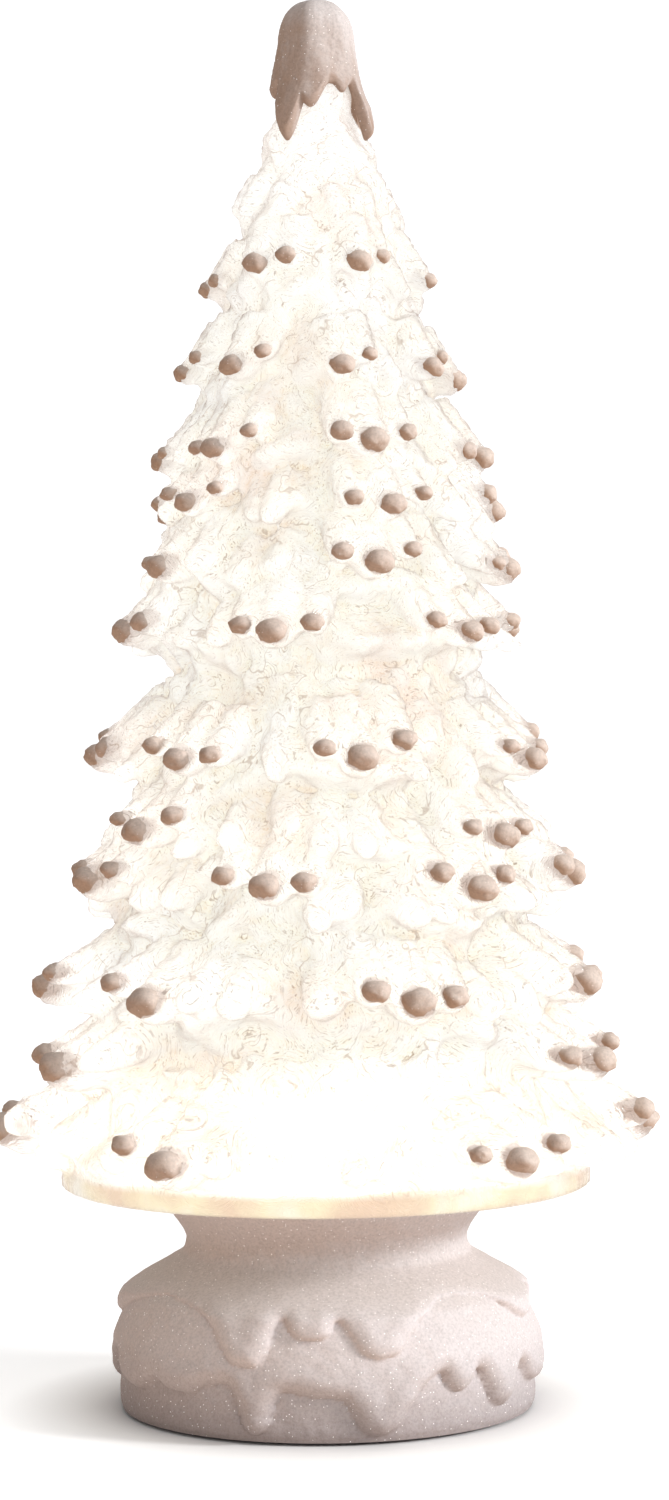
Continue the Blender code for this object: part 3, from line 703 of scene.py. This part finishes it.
def body_colour(g, needles):
    """Creamy needle streaks over white and peach patches, with painted highlights that make the crests paler.
    """
    patches = g.ramp(g.noise(42.0, 3.0, 0.6), (
        (0.36, (1.0, 1.0, 1.0)), (0.48, (1.0, 0.99, 0.90)), (0.57, (0.99, 0.91, 0.79)),
        (0.68, (0.95, 0.80, 0.70)),
    ))
    streaks = g.ramp(needles, (
        (0.35, (0.50, 0.40, 0.33)), (0.41, (0.93, 0.85, 0.74)), (0.46, (1.0, 1.0, 0.99)),
        (0.60, (1.0, 0.98, 0.90)), (0.68, (0.86, 0.74, 0.62)),
    ))
    # Painted highlight: crests, found from the mesh's pointiness, turn paler.
    painted_crest_highlight = g.span(g.node("NewGeometry").outputs["Pointiness"], 0.43, 0.53)
    return g.mix(g.times(painted_crest_highlight, 0.55), g.mix(1.0, patches, streaks, "MULTIPLY"), (1.0, 1.0, 0.985))


def tip_colour(g, needles):
    """Cool grey streaks in clear plastic."""
    return g.ramp(needles, (
        (0.36, (0.42, 0.38, 0.37)), (0.42, (0.90, 0.87, 0.86)), (0.50, (1.0, 1.0, 1.0)),
        (0.68, (0.80, 0.76, 0.75)),
    ))


def dark_loops(g):
    """Thin broken lines that wander in loops: 1 on a line and 0 off it."""
    lines = g.span(g.math("ABSOLUTE", g.minus(g.noise(105.0, 2.0, 0.4), 0.5)), 0.009, 0.003)
    broken = g.span(g.noise(160.0, 1.0), 0.46, 0.54)
    return g.times(lines, broken)


def clear_plastic(name="clear_boughs", glow=1.0):
    """Clear plastic full of light: creamy needle streaks over the body, clear and cooler towards each tip."""
    g = Graph(name, Roughness=0.07, IOR=1.36, Specular_IOR_Level=0.40)
    place = g.node("SeparateXYZ", Vector=g.where())
    x, y, z = (place.outputs[axis] for axis in "XYZ")
    azimuth = g.math("ARCTAN2", x, g.times(y, -1.0))
    radius = g.math("SQRT", g.plus(g.times(x, x), g.times(y, y)))
    outward = g.span(beyond_core(g, radius, z), 0.003, 0.014)
    places = needle_places(g, azimuth, radius, z)
    needles = g.noise(1.0, 3.0, 0.55, places)
    thin = g.noise(2.3, 2.0, 0.5, places)

    clearer = g.larger(outward, g.times(g.height(0.235, 0.310), 0.7))
    colour = g.mix(g.times(clearer, 0.85), body_colour(g, needles), tip_colour(g, needles))
    # Painted light: surfaces that face down turn paler and lose the dark strokes and loops.
    down = g.span(g.upward(), -0.15, -0.55)
    not_down = g.minus(1.0, down)
    colour = g.mix(g.times(down, 0.35), colour, (1.0, 0.985, 0.95))
    # Thin dark strokes and loops over the plastic, kept off the undersides.
    dark_strokes = g.times(g.math("LESS_THAN", thin, 0.285), not_down)
    colour = g.mix(g.times(dark_strokes, 0.55), colour, (0.42, 0.36, 0.32))
    colour = g.mix(g.times(g.times(dark_loops(g), not_down), 0.60), colour, (0.50, 0.38, 0.30))
    amber = g.ramp(g.noise(55.0, 2.0), (
        (0.38, (1.0, 0.96, 0.84)), (0.52, (0.98, 0.86, 0.62)), (0.66, (0.86, 0.66, 0.50)),
    ))
    colour = g.mix(g.minus(1.0, g.height(0.0580, 0.0600)), colour, amber)
    # Painted refraction: darker outlines where the surface is seen at a grazing angle.
    grazing = g.math("POWER", g.node("LayerWeight", Blend=0.5).outputs["Facing"], 2.6)
    colour = g.mix(g.times(grazing, 0.96), colour, (0.32, 0.24, 0.20))

    window = g.times(g.minus(1.0, g.height(0.074, 0.090)), g.height(0.0585, 0.0605))
    see = g.larger(g.larger(outward, window), g.times(g.height(0.240, 0.320), 0.55))
    g.put(g.shader, "Base Color", g.mix(see, g.mix(0.66, colour, (0.0, 0.0, 0.0)), colour))
    g.put(g.shader, "Transmission Weight", g.span(see, to_low=0.35, to_high=0.95))
    g.put(g.shader, "Emission Color", colour)
    g.put(g.shader, "Emission Strength", g.span(see, to_low=0.63 * glow, to_high=0.28 * glow))
    g.put(g.shader, "Normal", g.bump(g.plus(needles, g.times(thin, 0.4)), 0.8, 0.0010))
    return g.material


def lit_plastic():
    """Frosted plastic and lamp lenses that glow."""
    g = Graph("lit_frosted_plastic", Roughness=0.5, Base_Color=(0.98, 0.97, 0.93), Emission_Strength=2.2)
    cloud = g.ramp(g.noise(220.0, 3.0), ((0.3, (1.0, 0.97, 0.90)), (0.7, (1.0, 0.99, 0.96))))
    g.put(g.shader, "Emission Color", cloud)
    g.put(g.shader, "Normal", g.bump(g.noise(1400.0, 2.0), 0.25, 0.0003))
    return g.material


def snow(name, top, under, glitter, low_band=False, crown=False):
    """Sandy snow: a matt grain with pale flecks that glow a little as painted glints, and painted shade:
    darker where it faces down or away from the light.
    """
    g = Graph(name, Roughness=0.8, Specular_IOR_Level=0.25, Emission_Color=(1.0, 0.98, 0.96))
    grain = g.noise(1500.0, 3.0, 0.7)
    coarse = g.noise(420.0, 3.0, 0.65)
    # Painted shade: the under colour where the surface faces away from the key light at the upper right, the
    # top colour where it faces it.
    colour = g.mix(g.span(g.facing(0.66, 0.0, 0.70), -0.42, 0.62), under, top)
    colour = g.mix(g.times(g.noise(34.0, 3.0, 0.6), 0.35), colour, tuple(c * 0.80 for c in top))
    if crown:
        drawn_out = g.node("VectorMath", {"operation": "MULTIPLY"}, i0=g.where(), i1=(260.0, 260.0, 40.0))
        run = g.span(g.noise(1.0, 2.0, 0.5, drawn_out.outputs[0]), 0.38, 0.62)
        low = g.minus(1.0, g.height(0.318, 0.337))
        colour = g.mix(g.times(low, g.plus(0.35, g.times(run, 0.45))), colour, under)
    if low_band:
        # Painted shade near the floor: the base darkens towards its foot.
        painted_floor_shade = g.minus(1.0, g.height(0.001, 0.020))
        colour = g.mix(g.times(painted_floor_shade, 0.62), colour, (0.20, 0.165, 0.165))
    speckle = g.ramp(grain, ((0.36, (0.84, 0.84, 0.84)), (0.5, (1.0, 1.0, 1.0)), (0.64, (1.10, 1.10, 1.10))))
    colour = g.mix(0.8, colour, speckle, "MULTIPLY")
    cells = g.node("TexVoronoi", {"feature": "F1"}, Scale=1500.0, Vector=g.where())
    chosen = g.math("GREATER_THAN", g.node("SeparateColor", Color=cells.outputs["Color"]).outputs[0], 0.80)
    fleck_and_glint = g.times(g.times(g.math("LESS_THAN", cells.outputs["Distance"], 0.16), chosen), glitter)
    g.put(g.shader, "Base Color", g.mix(fleck_and_glint, colour, (0.95, 0.93, 0.92)))
    # The glitter flecks also glow a little: painted glints.
    g.put(g.shader, "Emission Strength", g.times(fleck_and_glint, 0.35))
    g.put(g.shader, "Normal", g.bump(g.plus(g.times(coarse, 0.7), g.times(grain, 0.5)), 0.40, 0.0005))
    return g.material


def moulded(name, colour, roughness=0.45, grain=900.0, metallic=0.0, depth=0.00015):
    """Moulded plastic, foam or metal with a fine surface and slight unevenness in colour."""
    g = Graph(name, Metallic=metallic)
    fine = g.noise(grain, 3.0)
    darker = tuple(c * 0.90 for c in colour)
    g.put(g.shader, "Base Color", g.ramp(g.noise(60.0, 3.0), ((0.35, darker), (0.65, colour))))
    g.put(g.shader, "Roughness", g.span(fine, to_low=max(0.05, roughness - 0.07), to_high=roughness + 0.07))
    g.put(g.shader, "Normal", g.bump(fine, 0.4, depth))
    return g.material


def numbered(name, count):
    return tuple(f"{name}_{k}" for k in range(1, count + 1))


def paint_nodes():
    """Gives every CAD node that stays in sight its material."""
    steel = moulded("plated_steel_finish", (0.62, 0.61, 0.59), 0.28, 2400.0, 1.0, 0.00005)
    screws = numbered("board_screw", 2) + numbered("shell_screw", 3) + numbered("cover_screw", 3)
    contacts = numbered("contact_spring", 3)
    contacts += ("link_plate_left", "link_plate_right", "positive_terminal", "negative_terminal")
    red_leads = ("wire_battery_to_switch", "wire_switch_to_board")
    looks = (
        (clear_plastic("clear_plate", 0.6), ("shell_bottom_plate",)),
        (lit_plastic(), ("light_diffuser", *numbered("led", 4))),
        (moulded("board_green", (0.04, 0.20, 0.08), 0.35), ("led_board",)),
        (moulded("black_moulding", (0.03, 0.03, 0.032), 0.4), ("timer_chip", "switch_body")),
        (steel, screws + contacts),
        (moulded("white_moulding", (0.74, 0.72, 0.69)), ("bottom_cover", "battery_door")),
        (moulded("switch_knob", (0.10, 0.10, 0.105), 0.4), ("switch_slider",)),
        (moulded("cell_jacket_finish", (0.10, 0.10, 0.12), 0.3, metallic=0.5), numbered("battery", 3)),
        (moulded("red_insulation_finish", (0.55, 0.03, 0.03), 0.4), red_leads),
        (moulded("black_insulation_finish", (0.03, 0.03, 0.03), 0.4), ("wire_battery_to_board",)),
        (moulded("foot_foam_finish", (0.72, 0.71, 0.69), 0.85, 1600.0, 0.0, 0.0004), numbered("foot", 4)),
    )
    for material, names in looks:
        for name in names:
            nodes[name].data.materials.clear()
            nodes[name].data.materials.append(material)


# ---------------------------------------------------------------- room, light and camera
def make_floor():
    """A pale floor. Away from the base it gives off a little light, which hides the horizon; close to the
    base it gives off none, which leaves painted shade round the base's foot.
    """
    builder = bmesh.new()
    bmesh.ops.create_grid(builder, x_segments=8, y_segments=8, size=30.0)
    mesh = bpy.data.meshes.new("floor")
    builder.to_mesh(mesh)
    builder.free()
    floor = bpy.data.objects.new("floor", mesh)
    bpy.context.scene.collection.objects.link(floor)
    g = Graph("pale_floor", Roughness=0.9, Specular_IOR_Level=0.0, Emission_Color=(1.0, 1.0, 1.0))
    cloud = g.ramp(g.noise(3.0), ((0.4, (0.86, 0.86, 0.865)), (0.6, (0.87, 0.87, 0.875))))
    g.put(g.shader, "Base Color", cloud)
    place = g.node("SeparateXYZ", Vector=g.where())
    x, y = place.outputs["X"], place.outputs["Y"]
    away = g.math("SQRT", g.plus(g.times(x, x), g.times(y, y)))
    # Painted shade: no glow within 50 mm of the middle, rising to full glow at 80 mm.
    g.put(g.shader, "Emission Strength", g.span(away, 0.050, 0.080, 0.0, 0.55))
    mesh.materials.append(g.material)


def grey_ramp(tree, factor, stops):
    made = tree.nodes.new("ShaderNodeValToRGB")
    tree.links.new(factor, made.inputs["Fac"])
    elements = made.color_ramp.elements
    while len(elements) < len(stops):
        elements.new(0.5)
    for element, (place, colour) in zip(elements, stops):
        element.position = place
        element.color = (*colour, 1.0)
    return made.outputs["Color"]


def make_world():
    """A bright studio: white low down, grey overhead and on the cards at both sides."""
    world = bpy.data.worlds.new("studio")
    bpy.context.scene.world = world
    world.use_nodes = True
    tree = world.node_tree
    background = tree.nodes["Background"]
    split = tree.nodes.new("ShaderNodeSeparateXYZ")
    tree.links.new(tree.nodes.new("ShaderNodeTexCoord").outputs["Generated"], split.inputs[0])
    white = (1.0, 1.0, 1.0)
    overhead = grey_ramp(tree, split.outputs["Z"], ((0.0, white), (0.35, white), (0.9, (0.42, 0.42, 0.43))))
    aside = tree.nodes.new("ShaderNodeMath")
    aside.operation = "ABSOLUTE"
    tree.links.new(split.outputs["X"], aside.inputs[0])
    cards = grey_ramp(tree, aside.outputs[0], ((0.42, white), (0.72, (0.66, 0.63, 0.61))))
    both = tree.nodes.new("ShaderNodeMix")
    both.data_type = "RGBA"
    both.blend_type = "MULTIPLY"
    both.inputs[0].default_value = 1.0
    tree.links.new(overhead, both.inputs[6])
    tree.links.new(cards, both.inputs[7])
    tree.links.new(both.outputs[2], background.inputs["Color"])
    seen_strength, lighting_strength = 1.12, 0.55
    strength = tree.nodes.new("ShaderNodeMapRange")
    diffuse_ray = tree.nodes.new("ShaderNodeLightPath").outputs["Is Diffuse Ray"]
    tree.links.new(diffuse_ray, strength.inputs["Value"])
    strength.inputs["To Min"].default_value = seen_strength
    strength.inputs["To Max"].default_value = lighting_strength
    tree.links.new(strength.outputs[0], background.inputs["Strength"])


def make_sun(name, towards, power, spread):
    light = bpy.data.lights.new(name, "SUN")
    light.energy = power
    light.angle = math.radians(spread)
    lamp = bpy.data.objects.new(name, light)
    lamp.rotation_euler = Vector(towards).to_track_quat("Z", "Y").to_euler()
    bpy.context.scene.collection.objects.link(lamp)


def make_camera():
    camera = bpy.data.cameras.new("camera")
    camera.sensor_fit = "VERTICAL"
    camera.sensor_height = 36.0
    camera.lens = CAMERA_LENS
    camera.clip_start = 0.05
    camera.clip_end = 20
    made = bpy.data.objects.new("camera", camera)
    made.location = CAMERA_PLACE
    made.rotation_euler = (math.radians(CAMERA_TILT), math.radians(CAMERA_ROLL), 0.0)
    bpy.context.scene.collection.objects.link(made)
    bpy.context.scene.camera = made


def make_object():
    """Builds the finished pieces that replace the CAD's shells, and paints the CAD nodes that stay."""
    snowy = tips()
    make_tree(snowy, clear_plastic())
    # Each snow has a top colour and an under colour. The under colour is painted shade for surfaces that face
    # away from the key light; the cap's darker streaks near its edge use it too.
    tip_snow = snow("tip_snow", (0.64, 0.53, 0.46), (0.34, 0.18, 0.10), glitter=0.3)
    make_tips(snowy, tip_snow)
    cap_snow = snow("cap_snow", (0.64, 0.575, 0.55), (0.33, 0.205, 0.14), glitter=0.8, crown=True)
    make_cap(cap_snow)
    base_snow = snow("base_snow", (0.66, 0.60, 0.595), (0.52, 0.385, 0.32), glitter=1.0, low_band=True)
    make_base(base_snow)
    paint_nodes()


def main():
    bpy.context.scene.view_settings.view_transform = "Standard"
    make_camera()
    make_floor()
    make_world()
    make_sun("key", (0.95, -0.28, 0.40), power=2.5, spread=12)
    make_sun("front", (0.35, -0.75, 0.85), power=0.7, spread=60)
    make_object()
    bpy.context.view_layer.update()


main()
